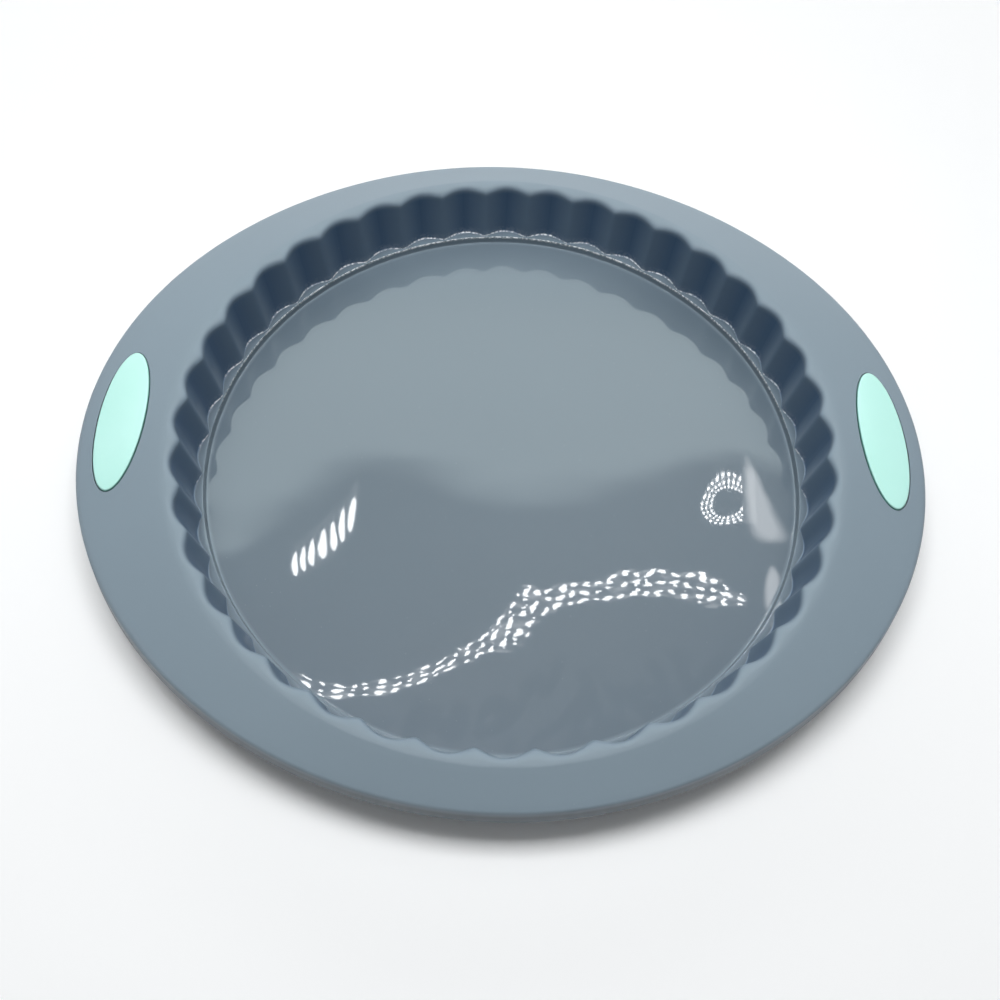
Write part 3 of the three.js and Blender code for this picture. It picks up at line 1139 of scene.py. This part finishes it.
waves = math.tau * STRING_LENGTH / WAVE_LENGTH
phase = times(tree, minus(tree, along, WAVE_START), waves)
swing = times(tree, calc(tree, "SINE", phase), WAVE_HEIGHT)
wave = plus(tree, swing, bump_along(middle=0.5, half_width=0.1, height=0.077))
offset = minus(tree, minus(tree, across, 0.5), wave)
widening = ramp(tree, along, start=0.17, end=0.73, low=0.095, high=0.225)
thickness = plus(tree, widening, bump_along(middle=0.4625, half_width=0.05, height=0.23))
thickness = times(tree, thickness, ramp(tree, along, start=1.0, end=0.93, low=0.35))

# %% Bulbs of the string, a little tangled
TANGLE_SCALE = 24.0
ROW_SLANT = 0.07

spot = tree.nodes["Geometry"].outputs["Parametric"]
tangle = add(tree, "ShaderNodeTexNoise", Vector=spot, Scale=TANGLE_SCALE, Detail=1.0).outputs["Color"]
tangle = add(tree, "ShaderNodeSeparateColor", Color=tangle).outputs
slanted = minus(tree, along, times(tree, offset, ROW_SLANT))
slanted = plus(tree, slanted, ramp(tree, tangle["Red"], low=-0.015, high=0.015))
row_shift = ramp(tree, tangle["Green"], low=0.25, high=0.75)
row_place = plus(tree, calc(tree, "DIVIDE", offset, thickness), row_shift)
haze = ramp(tree, tangle["Blue"], start=0.4, end=0.65, low=0.02, high=0.14)
bulb_size = ramp(tree, tangle["Blue"], start=0.35, end=0.65, low=0.2, high=0.36)
light_bulbs(tree, slanted, row_place, columns=33.0, rows=3.0, bulb_size=bulb_size, haze=haze)

# %% An open ring of bulbs
RING_INNER = 0.5
RING_OPENING = 0.5
FAR_STRETCH = 1.25

tree, along, across = flat_lamp(
    "open_ring_of_bulbs", x=379.0, y=528.0, height=BULB_HEIGHT, width=92.0, depth=42.0, brightness=45.0
)
side = centred(tree, along)
ahead = centred(tree, across)
far_half = calc(tree, "GREATER_THAN", ahead, 0.0)
ahead = times(tree, ahead, ramp(tree, far_half, low=1.0, high=FAR_STRETCH))
reach = hypotenuse(tree, side, ahead)
turn = plus(tree, calc(tree, "DIVIDE", calc(tree, "ARCTAN2", ahead, side), math.tau), 0.5)
band = calc(tree, "DIVIDE", minus(tree, reach, RING_INNER), 1.0 - RING_INNER)
closed_part = calc(tree, "LESS_THAN", side, RING_OPENING)
ring_row = times(tree, band, closed_part)
light_bulbs(tree, turn, ring_row, columns=26.0, rows=3.0, bulb_size=0.28, haze=0.04)

# %% A comb of bulbs, longer on the left
tree, along, across = flat_lamp(
    "comb_of_bulbs", x=-198.0, y=505.0, height=BULB_HEIGHT, width=80.0, depth=120.0, brightness=30.0
)
leaning = weigh(tree, along, across, along_share=1.356, across_share=0.671, start=-0.502)
climbing = weigh(tree, along, across, along_share=-76.0, across_share=82.4, start=-3.9)
bulb_length = ramp(tree, leaning, low=88.0, high=24.0)
comb_row = plus(tree, calc(tree, "DIVIDE", climbing, bulb_length), 0.5)
light_bulbs(tree, leaning, comb_row, columns=7.0, rows=1.0, bulb_size=0.34, haze=0.03)

# %% Two soft cards beside the ring
Card = namedtuple("Card", "name x y width depth far_middle slant")
cards = (
    Card("long_card", 451.0, 544.0, 109.0, 88.0, 0.30, 0.36),
    Card("short_card", 460.0, 419.0, 66.0, 101.0, 0.5, 0.0),
)
CARD_BRIGHTNESS = 8.0

for card in cards:
    tree, along, across = flat_lamp(
        card.name, card.x, card.y, CARD_HEIGHT, card.width, card.depth, CARD_BRIGHTNESS
    )
    nearness = minus(tree, 1.0, across)
    middle = plus(tree, card.far_middle, times(tree, nearness, card.slant))
    half_width = ramp(tree, nearness, low=0.14, high=0.42)
    side = calc(tree, "DIVIDE", minus(tree, along, middle), half_width)
    flat_end = calc(tree, "POWER", centred(tree, across), 2.0)
    shine(tree, ramp(tree, hypotenuse(tree, side, flat_end), start=1.0, end=0.35, soft=True))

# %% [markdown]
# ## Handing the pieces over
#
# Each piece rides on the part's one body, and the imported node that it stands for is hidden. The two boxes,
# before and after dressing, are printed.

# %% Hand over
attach(pan_shell, "root")
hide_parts("pan_body")
for node_name, piece in grips.items():
    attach(piece, "root")
    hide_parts(node_name)

dressed_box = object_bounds()
boxes = {"solid": [list(corner) for corner in solid_box], "dressed": [list(corner) for corner in dressed_box]}
for box_name, box in boxes.items():
    print(box_name, "box:", [[round(value, 4) for value in corner] for corner in box])
